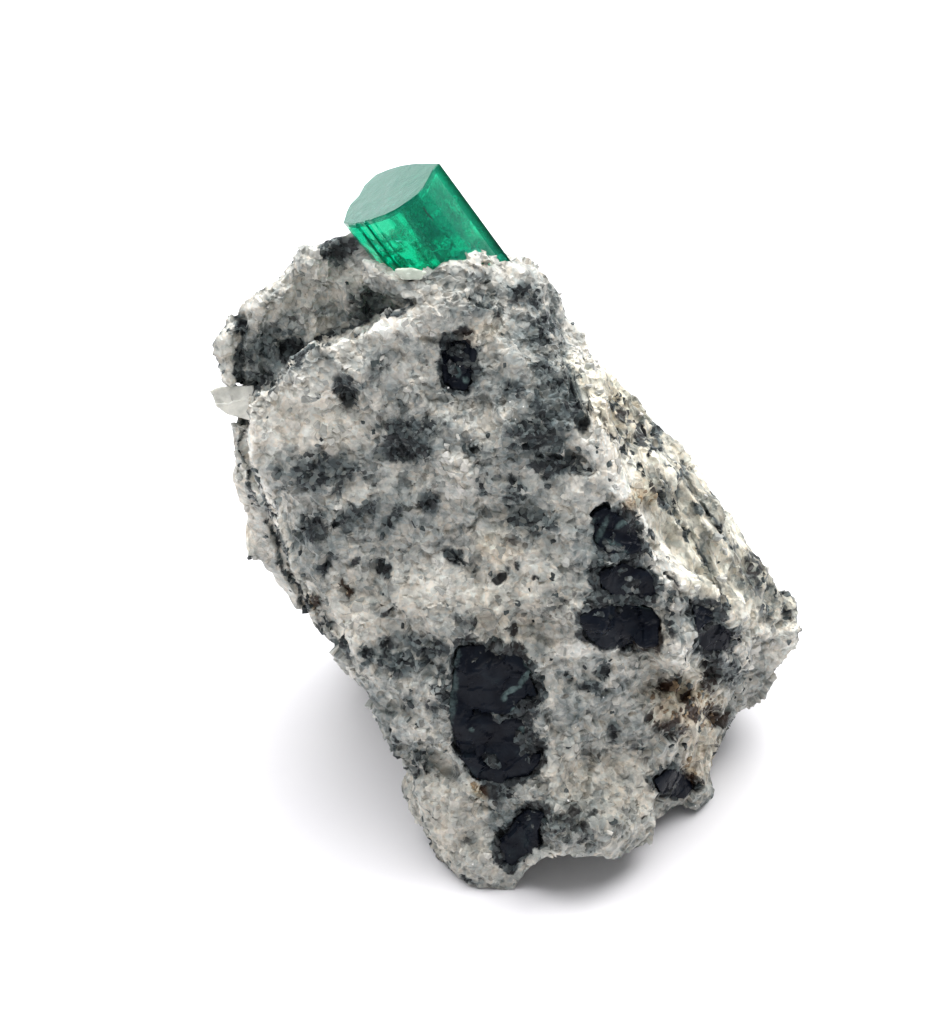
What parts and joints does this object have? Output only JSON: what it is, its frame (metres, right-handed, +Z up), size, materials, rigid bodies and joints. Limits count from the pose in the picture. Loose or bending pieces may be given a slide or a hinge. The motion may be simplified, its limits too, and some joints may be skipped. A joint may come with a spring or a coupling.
{
  "type": "emerald in matrix",
  "caption": "Short green emerald prism standing out of a broken piece of pale granular rock with black crystals in it, resting on a flat base.",
  "frame": {"origin": "middle of the bounding box at the level of the flat base", "axes": "+Z up; the display face with the black crystals looks along -Y and leans back; the emerald points up and towards -X"},
  "size_m": [0.03, 0.0204, 0.0336],
  "materials": {
    "matrix_stone": "broken granular rock: pale grey, cream and white grains with dark grey-green mottling and small sparkles",
    "emerald": "clear to translucent green, glossy faces with fine growth lines and veils inside",
    "black_crystal": "near-black glassy crystal broken level with the rock",
    "pale_crystal": "pale translucent quartz or feldspar chip"
  },
  "bodies": {
    "root": {"matrix_rock": "matrix_stone", "emerald_crystal": "emerald", "black_crystal_lower_front": "black_crystal", "black_crystal_lens": "black_crystal", "black_crystal_lobe": "black_crystal", "black_crystal_ridge": "black_crystal", "black_crystal_flank": "black_crystal", "black_crystal_foot": "black_crystal", "black_crystal_upper": "black_crystal", "black_crystal_lower_right": "black_crystal", "pale_chip_left_edge": "pale_crystal", "pale_chip_below_emerald": "pale_crystal"}
  },
  "joints": []
}
